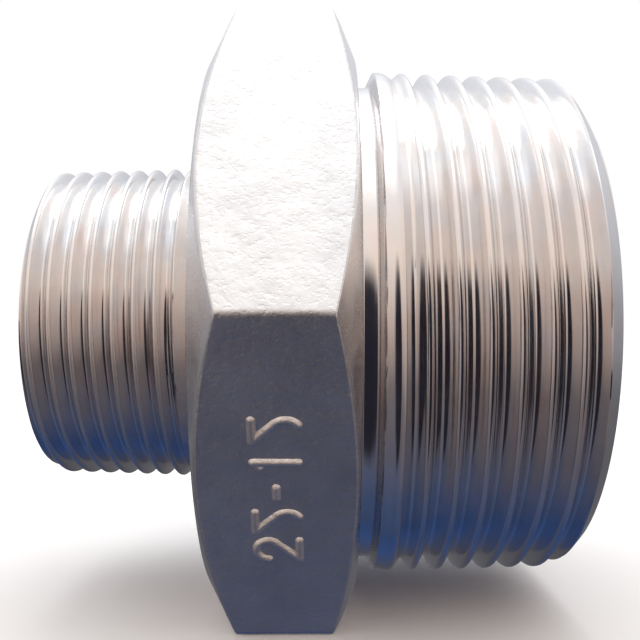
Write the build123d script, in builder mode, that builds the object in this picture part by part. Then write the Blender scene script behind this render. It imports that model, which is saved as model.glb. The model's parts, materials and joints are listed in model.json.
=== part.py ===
"""Reducing hex nipple: a cast hexagon with a large and a small taper thread, bored through.

The axis of the bore is X, with the large thread at +X. The hexagon lies on a flat, +Z up,
and one of its corners faces -Y. The origin is on the axis, at the hexagon's shoulder on the
large thread's side, from which both threads' lengths are measured.
The nipple is a single casting: each piece here is one worked zone of it, and neighbouring
zones meet face to face.
"""
import os
from math import sqrt

from build123d import *

os.makedirs("parts", exist_ok=True)

# Hexagon
across_flats = 36.3
flat_tilt = 30
hex_width = 8.8
corner_radius = 0.45
shoulder_radius = 17.65
large_cone_length = 1.4
small_cone_length = 1.8

# Male threads, right-handed, tapering 1 in 16 on the diameter
taper = 1 / 32
taper_angle = 1.79
large_major = 33.25
large_pitch = 1.59
large_length = 12.6
small_major = 20.95
small_pitch = 1.25
small_length = 10.2
depth_per_pitch = 0.64
root_per_pitch = 0.14
mouth_per_pitch = 0.86

# Pitches that the thread groove runs on past each end of its zone
large_run_out = 1.04
small_run_out = 0.94
groove_margin = 0.3

# Turned reliefs between the hexagon and the threads
large_relief_width = 0.95
large_relief_radius = 15.95
small_relief_width = 0.9
small_relief_radius = 10.0

# Chamfers: at the open ends, and where each thread meets its relief
large_lead = 1.0
small_lead = 1.0
large_back_chamfer = 0.35
small_back_chamfer = 1.05

# Stepped bore
large_bore_radius = 13.0
small_bore_radius = 7.5
bore_cone_start = -3.4
bore_cone_end = -8.4
bore_overrun = 1.0

# Raised size mark, the nominal bores in millimetres, on the lower front flat
mark_relief = 0.25
stroke_width = 0.45
half_line = 1.15
half_digit = 0.65
digit_step = 1.95
two_bowl_arc = 210
five_stem_foot = 0.1

corner_reach = across_flats / sqrt(3)
large_start = large_relief_width
large_end = large_start + large_length
small_start = hex_width + small_relief_width
small_end = small_start + small_length


def bore_profile():
    """Half outline of the stepped hole in the XZ plane, open beyond both ends."""
    with BuildSketch(Plane.XZ) as outline:
        with BuildLine():
            Polyline(
                (-small_end - bore_overrun, 0),
                (-small_end - bore_overrun, small_bore_radius),
                (bore_cone_end, small_bore_radius),
                (bore_cone_start, large_bore_radius),
                (large_end + bore_overrun, large_bore_radius),
                (large_end + bore_overrun, 0),
                close=True,
            )
        make_face()
    return outline.sketch


def thread_zone(start, end, major, pitch, run_out, lead, back_chamfer, relief_radius):
    """A solid threaded zone whose open end points to +X, with its major diameter halfway along."""
    depth = depth_per_pitch * pitch
    back_end = start + back_chamfer
    lead_start = end - lead

    def crest_radius(x):
        return major / 2 - (x - (start + end) / 2) * taper

    with BuildPart() as zone:
        with BuildSketch(Plane.XZ):
            with BuildLine():
                Polyline(
                    (start, 0),
                    (start, relief_radius),
                    (back_end, crest_radius(back_end)),
                    (lead_start, crest_radius(lead_start)),
                    (end, crest_radius(end) - lead),
                    (end, 0),
                    close=True,
                )
            make_face()
        revolve(axis=Axis.X)

        groove_start = start - run_out * pitch
        groove_length = end - start + 2 * run_out * pitch
        root = crest_radius(groove_start) - depth
        with BuildLine() as path:
            Helix(
                pitch=pitch,
                height=groove_length,
                radius=root,
                center=(groove_start, 0, 0),
                direction=(1, 0, 0),
                cone_angle=-taper_angle,
            )
        half_root = root_per_pitch * pitch / 2
        half_mouth = mouth_per_pitch * pitch / 2
        with BuildSketch(Plane.XZ):
            with BuildLine():
                Polyline(
                    (groove_start - half_mouth, root + depth + groove_margin),
                    (groove_start - half_mouth, root + depth),
                    (groove_start - half_root, root),
                    (groove_start + half_root, root),
                    (groove_start + half_mouth, root + depth),
                    (groove_start + half_mouth, root + depth + groove_margin),
                    close=True,
                )
            make_face()
        sweep(path=path.line, is_frenet=True, mode=Mode.SUBTRACT)
    return zone.part


def draw_two(middle):
    """Strokes of a 2, centred at middle along the mark."""
    bowl = JernArc((middle - half_digit, half_line - half_digit), (0, 1), half_digit, -two_bowl_arc)
    foot = Line(bowl @ 1, (middle - half_digit, -half_line))
    Line(foot @ 1, (middle + half_digit, -half_line))


def draw_five(middle):
    """Strokes of a 5, centred at middle along the mark."""
    bar = Line((middle + half_digit, half_line), (middle - half_digit, half_line))
    stem = Line(bar @ 1, (middle - half_digit, five_stem_foot))
    ThreePointArc(stem @ 1, (middle + half_digit, -half_line / 2), (middle - half_digit, -half_line))


def draw_one(middle):
    """Strokes of a 1, centred at middle along the mark."""
    flag = Line((middle - half_digit / 2, half_line - half_digit / 2), (middle, half_line))
    Line(flag @ 1, (middle, -half_line))


def draw_dash(middle):
    """A short dash, centred at middle along the mark."""
    Line((middle - half_digit / 2, 0), (middle + half_digit / 2, 0))


# Cast hexagon with a turned cone on each shoulder
with BuildPart() as hexagon:
    with BuildSketch(Plane.YZ.offset(-hex_width)):
        RegularPolygon(corner_reach, 6)
    extrude(amount=hex_width)
    fillet(hexagon.edges().filter_by(Axis.X), corner_radius)
    with BuildSketch(Plane.XZ):
        with BuildLine():
            Polyline(
                (-hex_width, 0),
                (-hex_width, shoulder_radius),
                (small_cone_length - hex_width, corner_reach),
                (-large_cone_length, corner_reach),
                (0, shoulder_radius),
                (0, 0),
                close=True,
            )
        make_face()
    revolve(axis=Axis.X, mode=Mode.INTERSECT)
    revolve(bore_profile(), axis=Axis.X, mode=Mode.SUBTRACT)
hexagon.part.label = "hexagon"
export_step(hexagon.part, "parts/hexagon.step")

# Large side: relief, then thread
with BuildPart() as large_relief:
    with BuildSketch(Plane.YZ):
        Circle(large_relief_radius)
    extrude(amount=large_relief_width)
    revolve(bore_profile(), axis=Axis.X, mode=Mode.SUBTRACT)
large_relief.part.label = "large_relief"
export_step(large_relief.part, "parts/large_relief.step")

with BuildPart() as large_thread:
    add(
        thread_zone(
            start=large_start,
            end=large_end,
            major=large_major,
            pitch=large_pitch,
            run_out=large_run_out,
            lead=large_lead,
            back_chamfer=large_back_chamfer,
            relief_radius=large_relief_radius,
        )
    )
    revolve(bore_profile(), axis=Axis.X, mode=Mode.SUBTRACT)
large_thread.part.label = "large_thread"
export_step(large_thread.part, "parts/large_thread.step")

# Small side: relief, then thread, turned round to point to -X
with BuildPart() as small_relief:
    with BuildSketch(Plane.YZ.offset(-small_start)):
        Circle(small_relief_radius)
    extrude(amount=small_relief_width)
    revolve(bore_profile(), axis=Axis.X, mode=Mode.SUBTRACT)
small_relief.part.label = "small_relief"
export_step(small_relief.part, "parts/small_relief.step")

with BuildPart() as small_thread:
    add(
        thread_zone(
            start=small_start,
            end=small_end,
            major=small_major,
            pitch=small_pitch,
            run_out=small_run_out,
            lead=small_lead,
            back_chamfer=small_back_chamfer,
            relief_radius=small_relief_radius,
        ),
        rotation=(0, 0, 180),
    )
    revolve(bore_profile(), axis=Axis.X, mode=Mode.SUBTRACT)
small_thread.part.label = "small_thread"
export_step(small_thread.part, "parts/small_thread.step")

# Size mark, read up the lower front flat
mark_digits = (draw_two, draw_five, draw_dash, draw_one, draw_five)
mark_start = -(len(mark_digits) - 1) / 2 * digit_step
flat_normal = Vector(0, -1, 0).rotate(Axis.X, flat_tilt)
up_flat = Vector(0, 0, 1).rotate(Axis.X, flat_tilt)
mark_origin = Vector(-hex_width / 2, 0, 0) + flat_normal * (across_flats / 2)
with BuildPart() as size_mark:
    with BuildSketch(Plane(origin=mark_origin, x_dir=up_flat, z_dir=flat_normal)):
        with BuildLine():
            for cell, draw in enumerate(mark_digits):
                draw(mark_start + cell * digit_step)
        trace(line_width=stroke_width)
    extrude(amount=mark_relief)
size_mark.part.label = "size_mark"
export_step(size_mark.part, "parts/size_mark.step")
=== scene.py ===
import json
from math import atan2, ceil, cos, degrees, floor, hypot, pi, radians, sin, tau

import bmesh
import bpy
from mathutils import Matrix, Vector, noise


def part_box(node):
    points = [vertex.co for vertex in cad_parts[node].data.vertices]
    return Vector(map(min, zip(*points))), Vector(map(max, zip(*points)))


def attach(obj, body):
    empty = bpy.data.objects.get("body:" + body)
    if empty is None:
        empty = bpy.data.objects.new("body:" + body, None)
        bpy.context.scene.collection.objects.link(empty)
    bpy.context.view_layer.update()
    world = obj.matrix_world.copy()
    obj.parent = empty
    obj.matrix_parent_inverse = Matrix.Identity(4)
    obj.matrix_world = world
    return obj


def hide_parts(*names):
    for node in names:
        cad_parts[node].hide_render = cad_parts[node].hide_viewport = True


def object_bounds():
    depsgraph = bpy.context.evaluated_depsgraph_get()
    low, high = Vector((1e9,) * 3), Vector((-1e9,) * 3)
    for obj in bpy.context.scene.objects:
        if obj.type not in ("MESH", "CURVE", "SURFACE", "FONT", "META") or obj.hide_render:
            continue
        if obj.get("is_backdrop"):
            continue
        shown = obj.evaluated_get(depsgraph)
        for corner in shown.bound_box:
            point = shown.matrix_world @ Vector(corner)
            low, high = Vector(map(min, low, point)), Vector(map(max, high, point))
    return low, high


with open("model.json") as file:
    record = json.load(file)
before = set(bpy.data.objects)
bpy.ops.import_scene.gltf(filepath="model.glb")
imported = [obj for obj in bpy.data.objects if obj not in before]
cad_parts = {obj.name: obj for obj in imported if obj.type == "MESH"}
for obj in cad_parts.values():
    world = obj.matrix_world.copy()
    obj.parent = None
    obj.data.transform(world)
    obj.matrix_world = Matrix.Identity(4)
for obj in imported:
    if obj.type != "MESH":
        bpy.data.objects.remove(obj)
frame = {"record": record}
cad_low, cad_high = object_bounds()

# The looks of a cast reducing hex nipple. The bore's axis is X, the large thread is at +X, and one
# corner of the hexagon faces the camera, which looks along +Y. Lengths are in metres.
MM = 0.001

# ---------------------------------------------------------------- sizes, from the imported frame

mounts = {mount["name"]: mount for mount in frame["record"]["mounts"]}
hex_low, hex_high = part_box("hexagon")
large_low, large_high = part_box("large_thread")
small_low, small_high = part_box("small_thread")
large_relief_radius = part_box("large_relief")[1].z
small_relief_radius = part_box("small_relief")[1].z
large_bore_radius = mounts["large_bore"]["dims"]["r_mm"] * MM
small_bore_radius = mounts["small_bore"]["dims"]["r_mm"] * MM
large_bore_end = large_high.x - mounts["large_bore"]["dims"]["length_mm"] * MM
small_bore_end = small_low.x + mounts["small_bore"]["dims"]["length_mm"] * MM

apothem = hex_high.z
corner_reach = hex_high.y
corner_radius = 0.45 * MM
shoulder_radius = 17.65 * MM
shoulder_edge = 0.15 * MM
large_cone_length = 1.4 * MM
small_cone_length = 1.8 * MM

taper = 1 / 32
thread_depth = 0.64
large_pitch = 1.587 * MM
small_pitch = 1.245 * MM
large_major = 33.25 * MM
small_major = 20.95 * MM
large_lead = 1.0 * MM
small_lead = 0.5 * MM
deburr = 0.25 * MM

# The as-cast skin lies a little under the ideal flats, so that its bumps stay inside them
skin_depth = 0.06 * MM

# Columns of faces round the axis of each turned piece
columns = 384

# Materials of a two-material piece, by their place in its list
FIRST, SECOND = 0, 1


# ---------------------------------------------------------------- small helpers

def smooth(value, low, high):
    """0 below low, 1 above high, and a smooth step between."""
    share = min(1.0, max(0.0, (value - low) / (high - low)))
    return share * share * (3 - 2 * share)


def soft_min(a, b, blend):
    """The smaller of two lengths, with a rounded change from one to the other."""
    share = max(0.0, blend - abs(a - b)) / blend
    return min(a, b) - share * share * blend / 4


def bore_radius(x):
    """Radius of the stepped bore at x."""
    share = min(1.0, max(0.0, (x - small_bore_end) / (large_bore_end - small_bore_end)))
    return small_bore_radius + share * (large_bore_radius - small_bore_radius)


def finish_piece(name, mesh_maker, material, replaced, sharp_angle=35):
    """Turns a bmesh into a piece that rides on the root body and stands for its CAD nodes."""
    mesh = bpy.data.meshes.new(name)
    bmesh.ops.recalc_face_normals(mesh_maker, faces=mesh_maker.faces)
    mesh_maker.to_mesh(mesh)
    mesh_maker.free()
    for polygon in mesh.polygons:
        polygon.use_smooth = True
    mesh.set_sharp_from_angle(angle=radians(sharp_angle))
    piece = bpy.data.objects.new(name, mesh)
    bpy.context.scene.collection.objects.link(piece)
    for each in material if isinstance(material, list) else [material]:
        mesh.materials.append(each)
    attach(piece, "root")
    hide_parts(*replaced)
    return piece


def ring_mesh(angles, outline, zones=None):
    """A closed ring round the X axis. outline(column) gives its section as a closed list of
    (x, radius), as long at every column. zones gives the material index of each of its steps."""
    made = bmesh.new()
    rows = []
    for column, angle in enumerate(angles):
        row = [(x, radius * cos(angle), radius * sin(angle)) for x, radius in outline(column)]
        rows.append([made.verts.new(place) for place in row])
    for column, here in enumerate(rows):
        there = rows[(column + 1) % len(rows)]
        for step in range(len(here)):
            after = (step + 1) % len(here)
            face = made.faces.new((here[step], there[step], there[after], here[after]))
            face.material_index = zones[step] if zones else 0
    return made


def even_angles(count):
    """Equal steps round the axis."""
    return [tau * column / count for column in range(count)]


def even_places(start, end, steps):
    """Equal steps from start to end, with both ends."""
    return [start + (end - start) * step / steps for step in range(steps + 1)]


# ---------------------------------------------------------------- node materials

class Nodes:
    """Short ways to build one node tree."""

    def __init__(self, tree):
        self.tree = tree
        tree.nodes.clear()

    def add(self, kind, settings=None, **inputs):
        """Adds a node. settings are its own values; inputs are socket values or sockets to link."""
        node = self.tree.nodes.new(kind)
        for key, value in (settings or {}).items():
            setattr(node, key, value)
        for key, value in inputs.items():
            self.feed(node, key.replace("_", " "), value)
        return node

    def feed(self, node, socket, value):
        """Sets or links one input, by its name or its place."""
        target = node.inputs[socket]
        if isinstance(value, bpy.types.NodeSocket):
            self.tree.links.new(value, target)
        else:
            target.default_value = value

    def math(self, operation, *values):
        node = self.tree.nodes.new("ShaderNodeMath")
        node.operation = operation
        for place, value in enumerate(values):
            self.feed(node, place, value)
        return node.outputs[0]

    def noise(self, vector, scale, detail=3.0, roughness=0.5):
        node = self.add("ShaderNodeTexNoise")
        self.feed(node, "Vector", vector)
        self.feed(node, "Scale", scale)
        self.feed(node, "Detail", detail)
        self.feed(node, "Roughness", roughness)
        return node.outputs["Fac"]

    def stretch(self, vector, scale):
        node = self.add("ShaderNodeMapping")
        self.feed(node, "Vector", vector)
        self.feed(node, "Scale", scale)
        return node.outputs["Vector"]

    def ramp(self, value, stops, interpolation="LINEAR"):
        """stops is a list of (position, colour)."""
        node = self.tree.nodes.new("ShaderNodeValToRGB")
        node.color_ramp.interpolation = interpolation
        elements = node.color_ramp.elements
        while len(elements) > 1:
            elements.remove(elements[-1])
        elements[0].position, elements[0].color = stops[0][0], (*stops[0][1], 1.0)
        for position, colour in stops[1:]:
            elements.new(position).color = (*colour, 1.0)
        self.feed(node, "Fac", value)
        return node.outputs["Color"]

    def span(self, value, low, high, to_low, to_high):
        """Maps a value from one range to another, clamped."""
        node = self.add("ShaderNodeMapRange")
        for place, each in enumerate((value, low, high, to_low, to_high)):
            self.feed(node, place, each)
        return node.outputs["Result"]

    def mix(self, share, first, second):
        node = self.add("ShaderNodeMix", {"data_type": "RGBA"})
        self.feed(node, "Factor", share)
        for socket in node.inputs:
            if socket.type == "RGBA" and socket.name in "AB":
                value = first if socket.name == "A" else second
                if isinstance(value, bpy.types.NodeSocket):
                    self.tree.links.new(value, socket)
                else:
                    socket.default_value = (*value, 1.0)
        return next(out for out in node.outputs if out.type == "RGBA")

    def bump(self, height, distance, strength=1.0, before=None):
        node = self.add("ShaderNodeBump")
        self.feed(node, "Height", height)
        self.feed(node, "Distance", distance)
        self.feed(node, "Strength", strength)
        if before is not None:
            self.feed(node, "Normal", before)
        return node.outputs["Normal"]


def steel(name, tree_filler):
    """A metal material whose colour, roughness and bump come from tree_filler(nodes, place)."""
    material = bpy.data.materials.new(name)
    material.use_nodes = True
    nodes = Nodes(material.node_tree)
    place = nodes.add("ShaderNodeTexCoord").outputs["Object"]
    colour, roughness, normal = tree_filler(nodes, place)
    shader = nodes.add("ShaderNodeBsdfPrincipled")
    shader.inputs["Metallic"].default_value = 1.0
    nodes.feed(shader, "Base Color", colour)
    nodes.feed(shader, "Roughness", roughness)
    nodes.feed(shader, "Normal", normal)
    output = nodes.add("ShaderNodeOutputMaterial")
    nodes.tree.links.new(shader.outputs["BSDF"], output.inputs["Surface"])
    return material


def turning_marks(nodes, place, fineness):
    """Noise drawn out into rings round the axis, on cylinders and on end faces alike. fineness is
    roughly how many rings there are to the metre."""
    x, y, z = nodes.add("ShaderNodeSeparateXYZ", Vector=place).outputs
    squares = nodes.math("ADD", nodes.math("MULTIPLY", y, y), nodes.math("MULTIPLY", z, z))
    across = nodes.math("ADD", x, nodes.math("SQRT", squares))
    along = nodes.stretch(place, (0, 90, 90))
    rings = nodes.add("ShaderNodeCombineXYZ", X=nodes.math("MULTIPLY", across, fineness))
    joined = nodes.add("ShaderNodeVectorMath", {"operation": "ADD"})
    nodes.feed(joined, 0, along)
    nodes.feed(joined, 1, rings.outputs[0])
    return nodes.noise(joined.outputs[0], 1.0, 2.0)


def turned_bright(nodes, place):
    """Bright turned steel: fine rings round the axis, and faint stains from handling."""
    rings = turning_marks(nodes, place, 13000)
    broad_rings = turning_marks(nodes, place, 3200)
    stains = nodes.noise(place, 420, 4.0, 0.6)
    tints = nodes.noise(nodes.stretch(place, (1500, 300, 300)), 1.0, 3.0, 0.6)
    shade = nodes.ramp(stains, [(0.3, (0.68, 0.66, 0.65)), (0.7, (0.80, 0.79, 0.79))])
    mauve, grey, blue = (0.80, 0.70, 0.68), (0.76, 0.75, 0.74), (0.68, 0.72, 0.80)
    tint = nodes.ramp(tints, [(0.35, mauve), (0.5, grey), (0.65, blue)])
    colour = nodes.mix(0.45, shade, tint)
    smear = nodes.span(stains, 0.35, 0.75, 0.06, 0.15)
    roughness = nodes.math("ADD", smear, nodes.span(rings, 0.3, 0.7, 0.0, 0.05))
    fine = nodes.bump(rings, 0.0012 * MM)
    return colour, roughness, nodes.bump(broad_rings, 0.005 * MM, 1.0, fine)


def turned_satin(nodes, place):
    """Turned steel that the pickling has dulled, as on the hexagon's shoulders."""
    rings = turning_marks(nodes, place, 9000)
    stains = nodes.noise(place, 650, 4.0, 0.6)
    colour = nodes.ramp(stains, [(0.3, (0.72, 0.71, 0.71)), (0.7, (0.82, 0.81, 0.81))])
    roughness = nodes.span(stains, 0.3, 0.7, 0.2, 0.32)
    return colour, roughness, nodes.bump(rings, 0.004 * MM)


def cast_relief_bump(nodes, place, grains):
    """Shallow dents with blasted grains on them."""
    dents = nodes.noise(nodes.stretch(place, (2900, 3600, 3600)), 1.0, 3.0, 0.55)
    dent_depth = nodes.span(dents, 0.32, 0.5, 0.0, 1.0)
    coarse = nodes.bump(dent_depth, 0.011 * MM)
    return nodes.bump(grains, 0.008 * MM, 1.0, coarse)


def cast_matt(nodes, place):
    """Blasted and pickled cast steel: fine grains, shallow dents and a slightly blotchy grey."""
    grains = nodes.noise(place, 7000, 3.0, 0.6)
    blotches = nodes.noise(place, 300, 4.0, 0.6)
    colour = nodes.ramp(blotches, [(0.3, (0.61, 0.61, 0.62)), (0.7, (0.73, 0.73, 0.73))])
    roughness = nodes.span(grains, 0.3, 0.7, 0.38, 0.5)
    return colour, roughness, cast_relief_bump(nodes, place, grains)


def cast_worn(nodes, place):
    """Cast steel painted a lighter grey all over as a painted highlight, and smoother where it is
    lightest, as on the raised numerals.
    """
    grains = nodes.noise(place, 7000, 3.0, 0.6)
    rubbed = nodes.noise(place, 1800, 3.0, 0.6)
    # The lighter grey is a painted highlight: it makes the raised numerals look as if they catch the
    # light
    colour = nodes.ramp(rubbed, [(0.35, (0.72, 0.70, 0.69)), (0.6, (0.90, 0.88, 0.86))])
    roughness = nodes.span(rubbed, 0.35, 0.65, 0.5, 0.4)
    return colour, roughness, cast_relief_bump(nodes, place, grains)


bright_steel = steel("bright_turned_steel", turned_bright)
satin_steel = steel("satin_turned_steel", turned_satin)
cast_steel = steel("cast_steel", cast_matt)
# The numerals' steel is painted lighter than the cast skin, a painted highlight
worn_steel = steel("painted_highlight_cast_steel", cast_worn)


# ---------------------------------------------------------------- hexagon

def hexagon_section(arc_steps=12, flat_steps=118):
    """The hexagon's outline with rounded corners, as a list of (angle, radius). A corner faces -Y."""
    centre = (apothem - corner_radius) / cos(radians(30))
    section = []
    for corner in range(6):
        turn = radians(60 * corner)
        for step in range(arc_steps + 1):
            swing = radians(-30 + 60 * step / arc_steps)
            out = centre + corner_radius * cos(swing)
            side = corner_radius * sin(swing)
            section.append((turn + atan2(side, out), hypot(out, side)))
        reach = centre * sin(radians(30))
        for step in range(1, flat_steps):
            along = reach * (1 - 2 * step / flat_steps)
            section.append((turn + radians(30) - atan2(along, apothem), hypot(along, apothem)))
    return section


def shoulder_cone(x):
    """Radius of the turned cones that cut the hexagon's corners back at both shoulders."""
    rise = corner_reach - shoulder_radius
    from_large = shoulder_radius + (hex_high.x - x) / large_cone_length * rise
    from_small = shoulder_radius + (x - hex_low.x) / small_cone_length * rise
    return min(from_large, from_small)


def cast_skin(x, y, z):
    """Height of the cast skin over the ideal shape: broad waves, then dents, then blasted grains."""
    place = Vector((x, y, z)) / MM
    waves = noise.noise(place * 0.22) * 0.03
    lumps = noise.noise(place * 0.9 + Vector((7, 0, 0))) * 0.02
    grains = noise.noise(place * 2.6 + Vector((0, 5, 0))) * 0.013
    return (waves + lumps + grains) * MM - skin_depth


edge_steps, cone_steps, skin_steps = 4, 10, 76
cone_blend = 0.22 * MM
least_cut = 0.02 * MM

# Radii in mm of the rings that carry each flat shoulder
LARGE_FACE = (17.0, 16.4, 15.9, 14.8, 13.6)
SMALL_FACE = (8.5, 9.5, 10.5, 12.0, 14.0, 16.0)


def edge_arc(corner, before, after, size):
    """Rounds one corner of a section, between the points before and after it."""
    corner, before, after = (Vector(point) for point in (corner, before, after))
    start = corner + (before - corner).normalized() * size
    end = corner + (after - corner).normalized() * size
    arc = []
    for step in range(edge_steps + 1):
        share = step / edge_steps
        arc.append(start.lerp(corner, share).lerp(corner.lerp(end, share), share))
    return [tuple(point) for point in arc]


def outer_rows(angle, side):
    """The hexagon's outside at one angle, from the small shoulder to the large one: (x, radius)."""
    rise = corner_reach - shoulder_radius
    cut = max(least_cut, side - skin_depth - shoulder_radius) / rise
    small_edge = hex_low.x + cut * small_cone_length
    large_edge = hex_high.x - cut * large_cone_length
    places = even_places(hex_low.x, small_edge, cone_steps)[1:-1]
    places += even_places(small_edge, large_edge, skin_steps)
    places += even_places(large_edge, hex_high.x, cone_steps)[1:-1]
    rows = []
    for x in places:
        skin = side + cast_skin(x, side * cos(angle), side * sin(angle))
        rows.append((x, soft_min(skin, shoulder_cone(x), cone_blend)))
    return rows


def hexagon_outline(column):
    """Section of the hexagon at one column: outside, large shoulder, bore, small shoulder."""
    angle, side = hexagon_sides[column]
    rows = outer_rows(angle, side)
    large_corner, small_corner = (hex_high.x, shoulder_radius), (hex_low.x, shoulder_radius)
    large_face = [(hex_high.x, radius * MM) for radius in LARGE_FACE]
    small_face = [(hex_low.x, radius * MM) for radius in SMALL_FACE]
    middle = (large_bore_end + small_bore_end) / 2
    bore = [hex_high.x, large_bore_end, middle, small_bore_end, hex_low.x]
    outline = edge_arc(small_corner, small_face[-1], rows[0], shoulder_edge)
    outline += rows
    outline += edge_arc(large_corner, rows[-1], large_face[0], shoulder_edge)
    outline += large_face
    outline += [(x, bore_radius(x)) for x in bore]
    return outline + small_face


def hexagon_zones(strips):
    """Cast skin and bore, with turned shoulders: the material of each strip of the section."""
    cone_strips = edge_steps + cone_steps
    face_strips = len(LARGE_FACE) + 1
    bore_strips = 4
    zones = [SECOND] * cone_strips + [FIRST] * skin_steps
    zones += [SECOND] * (cone_strips + face_strips) + [FIRST] * bore_strips
    return zones + [SECOND] * (strips - len(zones))


hexagon_sides = hexagon_section()
hexagon_angles = [angle for angle, side in hexagon_sides]
hexagon_mesh = ring_mesh(hexagon_angles, hexagon_outline, hexagon_zones(len(hexagon_outline(0))))
finish_piece("hexagon_body", hexagon_mesh, [cast_steel, satin_steel], ["hexagon"], 25)

# ---------------------------------------------------------------- size mark

mark_relief = 0.18 * MM
mark_half_width = 0.24 * MM
half_line = 1.15 * MM
half_digit = 0.65 * MM
digit_step = 1.95 * MM
mark_cell = 0.05 * MM
# The mark's grid reaches this many half widths out from the middle of a stroke
mark_reach = 1.4
mark_sunk = 0.3 * MM


def circle_points(centre, radius, start, end, steps=16):
    """Points along an arc, with its angles in degrees."""
    turns = [radians(turn) for turn in even_places(start, end, steps)]
    return [(centre[0] + radius * cos(turn), centre[1] + radius * sin(turn)) for turn in turns]


def stroke_two():
    bowl = circle_points((0, half_line - half_digit), half_digit, 180, -30)
    return bowl + [(-half_digit, -half_line), (half_digit, -half_line)]


def stroke_five():
    stem_foot = 0.1 * MM
    middle = (stem_foot - half_line) / 2
    half_height = (stem_foot + half_line) / 2
    bulge = 2 * half_digit
    radius = (bulge**2 + half_height**2) / (2 * bulge)
    centre = (half_digit - radius, middle)
    opening = degrees(atan2(half_height, bulge - radius))
    bowl = circle_points(centre, radius, opening, -opening)
    return [(half_digit, half_line), (-half_digit, half_line)] + bowl


def stroke_one():
    return [(-half_digit / 2, half_line - half_digit / 2), (0, half_line), (0, -half_line)]


def stroke_dash():
    return [(-half_digit / 2, 0), (half_digit / 2, 0)]


def distance_to_run(point, start, end):
    """Distance from a point to a straight run of a stroke."""
    run = end - start
    share = min(1.0, max(0.0, (point - start).dot(run) / run.length_squared))
    return (point - start - run * share).length


def mark_runs():
    """The straight runs of all strokes, along the mark and across it."""
    strokes = [stroke_two(), stroke_five(), stroke_dash(), stroke_one(), stroke_five()]
    runs = []
    for cell, stroke in enumerate(strokes):
        shift = Vector(((cell - (len(strokes) - 1) / 2) * digit_step, 0))
        points = [Vector(point) + shift for point in stroke]
        runs += zip(points, points[1:])
    return runs


def mark_height(distance):
    """Height of a cast stroke over the ideal flat: rounded across, and under the skin at its rim."""
    return mark_relief * cos(pi / 2 * min(mark_reach, distance / mark_half_width)) - skin_depth


def mark_cells(runs):
    """Distance to the nearest stroke at each grid point that lies on or beside a stroke."""
    reach = mark_half_width * mark_reach
    cells = {}
    for start, end in runs:
        low_u = floor((min(start.x, end.x) - reach) / mark_cell)
        high_u = ceil((max(start.x, end.x) + reach) / mark_cell)
        low_v = floor((min(start.y, end.y) - reach) / mark_cell)
        high_v = ceil((max(start.y, end.y) + reach) / mark_cell)
        for u in range(low_u, high_u + 1):
            for v in range(low_v, high_v + 1):
                distance = distance_to_run(Vector((u, v)) * mark_cell, start, end)
                if distance < reach:
                    cells[u, v] = min(distance, cells.get((u, v), reach))
    return cells


def make_size_mark():
    """Raised generic numerals that read up the lower front flat."""
    tilt = radians(30)
    normal = Vector((0, -cos(tilt), -sin(tilt)))
    up_flat = Vector((0, -sin(tilt), cos(tilt)))
    origin = Vector(((hex_low.x + hex_high.x) / 2, 0, 0)) + normal * apothem
    cells = mark_cells(mark_runs())
    made = bmesh.new()
    tops, feet = {}, {}
    for (u, v), distance in cells.items():
        place = origin + up_flat * (u * mark_cell) - Vector((v * mark_cell, 0, 0))
        tops[u, v] = made.verts.new(place + normal * mark_height(distance))
        feet[u, v] = made.verts.new(place - normal * mark_sunk)
    used = set()
    for u, v in cells:
        square = [(u, v), (u + 1, v), (u + 1, v + 1), (u, v + 1)]
        if all(corner in cells for corner in square):
            made.faces.new([tops[corner] for corner in square])
            made.faces.new([feet[corner] for corner in reversed(square)])
            used.update((square[side], square[(side + 1) % 4]) for side in range(4))
    for start, end in used:
        if (end, start) not in used:
            made.faces.new((tops[end], tops[start], feet[start], feet[end]))
    loose = [vertex for vertex in made.verts if not vertex.link_faces]
    bmesh.ops.delete(made, geom=loose, context="VERTS")
    finish_piece("size_mark_numerals", made, worn_steel, ["size_mark"], 50)


make_size_mark()

# ---------------------------------------------------------------- reliefs

relief_clearance = 0.1 * MM
relief_fillet = 0.15 * MM


def relief_outline(start, end, radius):
    """Section of a relief groove with a small fillet at each side, and then its bore."""
    turns = even_places(0, pi / 2, 6)
    arc = [(relief_fillet * (1 - sin(turn)), relief_fillet * (1 - cos(turn))) for turn in turns]
    outline = [(start + along, radius + out) for along, out in reversed(arc)]
    outline += [(end - along, radius + out) for along, out in arc]
    bore = [end, (start + end) / 2, start]
    return outline + [(x, bore_radius(x)) for x in bore]


def relief(name, node, start, end, radius):
    """One turned relief. Its outside and sides are bright, and its two bore strips are as cast."""
    outline = relief_outline(start, end, radius)
    zones = [FIRST] * (len(outline) - 3) + [SECOND, SECOND, FIRST]
    made = ring_mesh(even_angles(columns), lambda column: outline, zones)
    finish_piece(name, made, [bright_steel, cast_steel], [node])


large_relief_low, large_relief_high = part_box("large_relief")
small_relief_low, small_relief_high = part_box("small_relief")
for side, low, high, radius in (
    ("large", large_relief_low, large_relief_high, large_relief_radius),
    ("small", small_relief_low, small_relief_high, small_relief_radius),
):
    relief(side + "_relief_groove", side + "_relief", low.x, high.x, radius - relief_clearance)

# ---------------------------------------------------------------- threads

per_pitch = 24
thread_blend = 0.05 * MM
# Share of its depth that the groove has where it starts beside the relief
least_groove = 0.12


def thread_form(phase, crest_flat):
    """Whitworth form: 0 at the crest and 1 at the root, both rounded off. crest_flat cuts the
    crest down by that share of the depth."""
    share = abs(phase - floor(phase + 0.5)) * 2
    third = 1 / 3
    if share < third:
        height = third / 2 + share * share / (2 * third)
    elif share > 1 - third:
        height = 1 - third / 2 - (1 - share) ** 2 / (2 * third)
    else:
        height = share
    height = (height - third / 2) / (1 - third)
    return -soft_min(-height, -crest_flat, 0.01)


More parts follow.
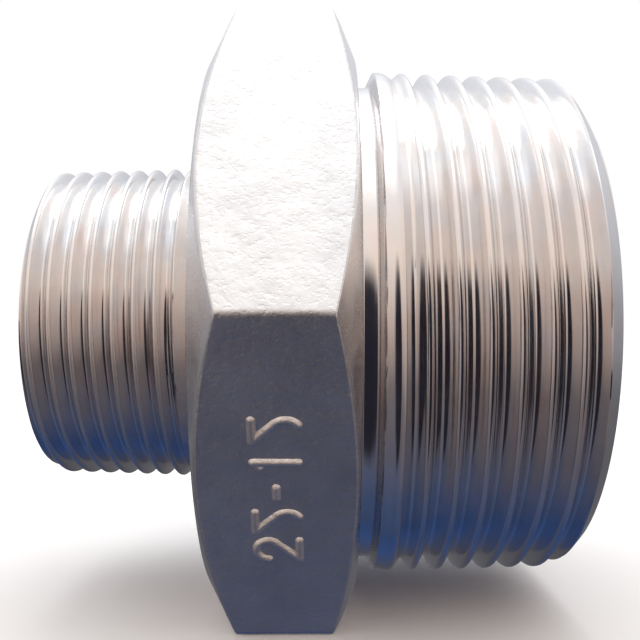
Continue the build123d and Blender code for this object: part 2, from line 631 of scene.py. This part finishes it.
def thread(
    name,
    node,
    start,
    end,
    major,
    pitch,
    lead,
    front_crest,
    crest_flat,
    back_radius,
    back_slope,
    first_groove,
):
    """One male taper thread. start is its relief end and end its open end. front_crest is where
    a crest passes the side that faces the camera. From the relief, the thread rises at back_slope
    from back_radius, and its grooves deepen over the length first_groove."""
    outward = 1 if end > start else -1
    middle = (start + end) / 2

    def radius_at(x, angle):
        along = (x - start) * outward
        left = (end - x) * outward
        crest = major / 2 - (x - middle) * outward * taper
        turns = (x - front_crest) / pitch - (angle - pi) / tau
        share = least_groove + (1 - least_groove) * smooth(along, 0.3 * first_groove, first_groove)
        wall = crest - thread_depth * pitch * share * thread_form(turns, crest_flat)
        wall = soft_min(wall, crest - lead + left, thread_blend)
        return soft_min(wall, back_radius + along * back_slope, thread_blend)

    low, high = min(start, end), max(start, end)
    first = low - 2 * pitch
    count = ceil((high - low) / pitch + 3) * per_pitch
    made = bmesh.new()
    rows = []
    for column in range(columns):
        angle = tau * column / columns
        row = []
        for step in range(count + 1):
            x = first + (step / per_pitch + column / columns) * pitch
            radius = radius_at(x, angle)
            row.append(made.verts.new((x, radius * cos(angle), radius * sin(angle))))
        rows.append(row)
    for column in range(columns):
        last = column == columns - 1
        here, there = rows[column], rows[0 if last else column + 1]
        shift = per_pitch if last else 0
        for step in range(count - shift):
            made.faces.new((here[step], here[step + 1], there[step + 1 + shift], there[step + shift]))
    trim(made, low, high)
    close_ends(made, start, end)
    # A flank meets the end face at 27.5 degrees, and that edge stays sharp
    finish_piece(name, made, [bright_steel, cast_steel], [node], 22)


def trim(made, low, high):
    """Cuts a thread's skin square at both ends."""
    for x, side in ((low, -1), (high, 1)):
        bmesh.ops.bisect_plane(
            made,
            geom=made.verts[:] + made.edges[:] + made.faces[:],
            plane_co=(x, 0, 0),
            plane_no=(side, 0, 0),
            dist=1e-9,
            clear_outer=True,
        )


def rim_edges(made, x):
    """The open edges of a skin that lie in the plane at x."""
    return [
        edge
        for edge in made.edges
        if edge.is_boundary and all(abs(vertex.co.x - x) < 1e-7 for vertex in edge.verts)
    ]


def grow_rim(made, edges, x, radius):
    """Extrudes an open rim to a circle of that radius in the plane at x, and returns its edges."""
    grown = bmesh.ops.extrude_edge_only(made, edges=edges)["geom"]
    for vertex in (item for item in grown if isinstance(item, bmesh.types.BMVert)):
        reach = hypot(vertex.co.y, vertex.co.z)
        vertex.co = Vector((x, vertex.co.y * radius / reach, vertex.co.z * radius / reach))
    return [item for item in grown if isinstance(item, bmesh.types.BMEdge) and item.is_boundary]


def close_ends(made, start, end):
    """Closes a trimmed skin with its end faces and the wall of its bore, deburred at the open end."""
    outward = 1 if end > start else -1
    start_rim = rim_edges(made, start)
    rim = grow_rim(made, rim_edges(made, end), end, bore_radius(end) + deburr)
    rim = grow_rim(made, rim, end - deburr * outward, bore_radius(end))
    rim = grow_rim(made, rim, start, bore_radius(start))
    bmesh.ops.bridge_loops(made, edges=start_rim + rim)
    for face in made.faces:
        reaches = [hypot(vertex.co.y, vertex.co.z) for vertex in face.verts]
        if max(reaches) < bore_radius(end) + deburr / 2:
            face.material_index = SECOND


thread(
    "large_taper_thread",
    "large_thread",
    start=large_low.x,
    end=large_high.x,
    major=large_major,
    pitch=large_pitch,
    lead=large_lead,
    front_crest=1.80 * MM,
    crest_flat=0.014,
    back_radius=large_relief_radius + 0.2 * MM,
    back_slope=2.2,
    first_groove=2.6 * MM,
)
thread(
    "small_taper_thread",
    "small_thread",
    start=small_high.x,
    end=small_low.x,
    major=small_major,
    pitch=small_pitch,
    lead=small_lead,
    front_crest=-10.48 * MM,
    crest_flat=0.0,
    back_radius=small_relief_radius - 0.05 * MM,
    back_slope=0.6,
    first_groove=1.6 * MM,
)

# ---------------------------------------------------------------- camera, lights, floor

camera_distance = 58.2 * MM
camera_rise = radians(-1.2)
camera_left = 2.16 * MM
camera_height = 0.14 * MM
camera_data = bpy.data.cameras.new("camera")
camera_data.sensor_width = 36.0
camera_data.lens = 46.5
camera_data.clip_start = 1 * MM
camera = bpy.data.objects.new("camera", camera_data)
bpy.context.scene.collection.objects.link(camera)
camera.location = (
    hex_high.x - camera_left,
    -camera_distance * cos(camera_rise),
    camera_distance * sin(camera_rise) + camera_height,
)
camera.rotation_euler = (radians(90) - camera_rise, 0, 0)
bpy.context.scene.camera = camera

bpy.context.scene.view_settings.view_transform = "Standard"


# The studio's soft light as (elevation in degrees, linear colour). In front, a dark table lies under
# a warm wall and a white ceiling. Behind, a backdrop goes from a blue sheet underneath, through dark
# grey, to pale above the horizon. The metal mirrors all of it, and the camera itself sees only white.
FRONT_WALL = [
    (-90, (0.05, 0.09, 0.20)),
    (-58, (0.12, 0.12, 0.16)),
    (-28, (0.20, 0.17, 0.17)),
    (0, (0.68, 0.54, 0.48)),
    (25, (1.05, 0.90, 0.80)),
    (52, (1.15, 1.06, 1.02)),
    (65, (1.60, 1.60, 1.60)),
]
BACKDROP = [
    (-85, (0.03, 0.06, 0.14)),
    (-58, (0.04, 0.08, 0.22)),
    (-34, (0.08, 0.08, 0.10)),
    (-12, (0.16, 0.16, 0.17)),
    (2, (0.38, 0.37, 0.39)),
    (30, (0.90, 0.92, 0.97)),
    (60, (1.60, 1.60, 1.60)),
]
# The camera's side of the room is dark in an oval patch. Its half width and half height are in
# degrees, and its centre is the bearing and elevation in degrees.
DARK_SIDE = (0.02, 0.02, 0.03)
DARK_ACROSS, DARK_UP = 22, 45
DARK_CENTRE = (9, -22)


def by_elevation(nodes, elevation, stops):
    """A vertical gradient from (elevation in degrees, colour) stops."""
    level = nodes.span(elevation, -pi / 2, pi / 2, 0.0, 1.0)
    return nodes.ramp(level, [((degree + 90) / 180, colour) for degree, colour in stops])


def share_of_patch(nodes, bearing, elevation):
    """1 in the middle of the dark side and 0 outside it, with a soft edge."""
    across = nodes.math("SUBTRACT", bearing, radians(DARK_CENTRE[0]))
    up = nodes.math("SUBTRACT", elevation, radians(DARK_CENTRE[1]))
    across = nodes.math("DIVIDE", across, radians(DARK_ACROSS))
    up = nodes.math("DIVIDE", up, radians(DARK_UP))
    squares = nodes.math("ADD", nodes.math("MULTIPLY", across, across), nodes.math("MULTIPLY", up, up))
    return nodes.span(squares, 0.75, 1.25, 1.0, 0.0)


def studio():
    """The soft light that the steel mirrors, and plain white where the camera sees past the floor."""
    world = bpy.data.worlds.new("studio")
    bpy.context.scene.world = world
    world.use_nodes = True
    nodes = Nodes(world.node_tree)
    direction = nodes.add("ShaderNodeTexCoord").outputs["Generated"]
    x, y, z = nodes.add("ShaderNodeSeparateXYZ", Vector=direction).outputs
    elevation = nodes.math("ARCSINE", z)
    bearing = nodes.math("ARCTAN2", x, nodes.math("MULTIPLY", y, -1.0))
    wall = by_elevation(nodes, elevation, FRONT_WALL)
    wall = nodes.mix(share_of_patch(nodes, bearing, elevation), wall, DARK_SIDE)
    behind = nodes.span(y, -0.1, 0.35, 0.0, 1.0)
    light = nodes.mix(behind, wall, by_elevation(nodes, elevation, BACKDROP))
    dome = nodes.add("ShaderNodeBackground", Color=light)
    white = nodes.add("ShaderNodeBackground")
    white.inputs["Color"].default_value = (1, 1, 1, 1)
    chosen = nodes.add("ShaderNodeMixShader")
    nodes.feed(chosen, 0, nodes.add("ShaderNodeLightPath").outputs["Is Camera Ray"])
    nodes.feed(chosen, 1, dome.outputs[0])
    nodes.feed(chosen, 2, white.outputs[0])
    output = nodes.add("ShaderNodeOutputWorld")
    nodes.tree.links.new(chosen.outputs[0], output.inputs["Surface"])


def softbox(name, place, size, watts):
    """A soft round lamp at a place in metres, turned to face the nipple."""
    data = bpy.data.lights.new(name, "AREA")
    data.shape = "DISK"
    data.size = size
    data.energy = watts
    light = bpy.data.objects.new(name, data)
    bpy.context.scene.collection.objects.link(light)
    light.location = place
    light.rotation_euler = (-light.location).to_track_quat("-Z", "Y").to_euler()


def lay_floor():
    """A plain pale floor. It is left out of mirrored rays, so the metal doesn't mirror it."""
    half = 2.0
    corners = [(-half, -half), (half, -half), (half, half), (-half, half)]
    mesh = bpy.data.meshes.new("floor")
    mesh.from_pydata([(x, y, cad_low.z) for x, y in corners], [], [(0, 1, 2, 3)])
    ground = bpy.data.objects.new("floor", mesh)
    bpy.context.scene.collection.objects.link(ground)
    material = bpy.data.materials.new("pale_floor")
    material.use_nodes = True
    shader = material.node_tree.nodes["Principled BSDF"]
    shader.inputs["Base Color"].default_value = (0.9, 0.9, 0.9, 1)
    shader.inputs["Roughness"].default_value = 0.9
    mesh.materials.append(material)
    ground.visible_glossy = False
    ground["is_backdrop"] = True


studio()
softbox("overhead_softbox", place=(0, 0.1, 0.42), size=0.3, watts=0.4)
lay_floor()
low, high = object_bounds()
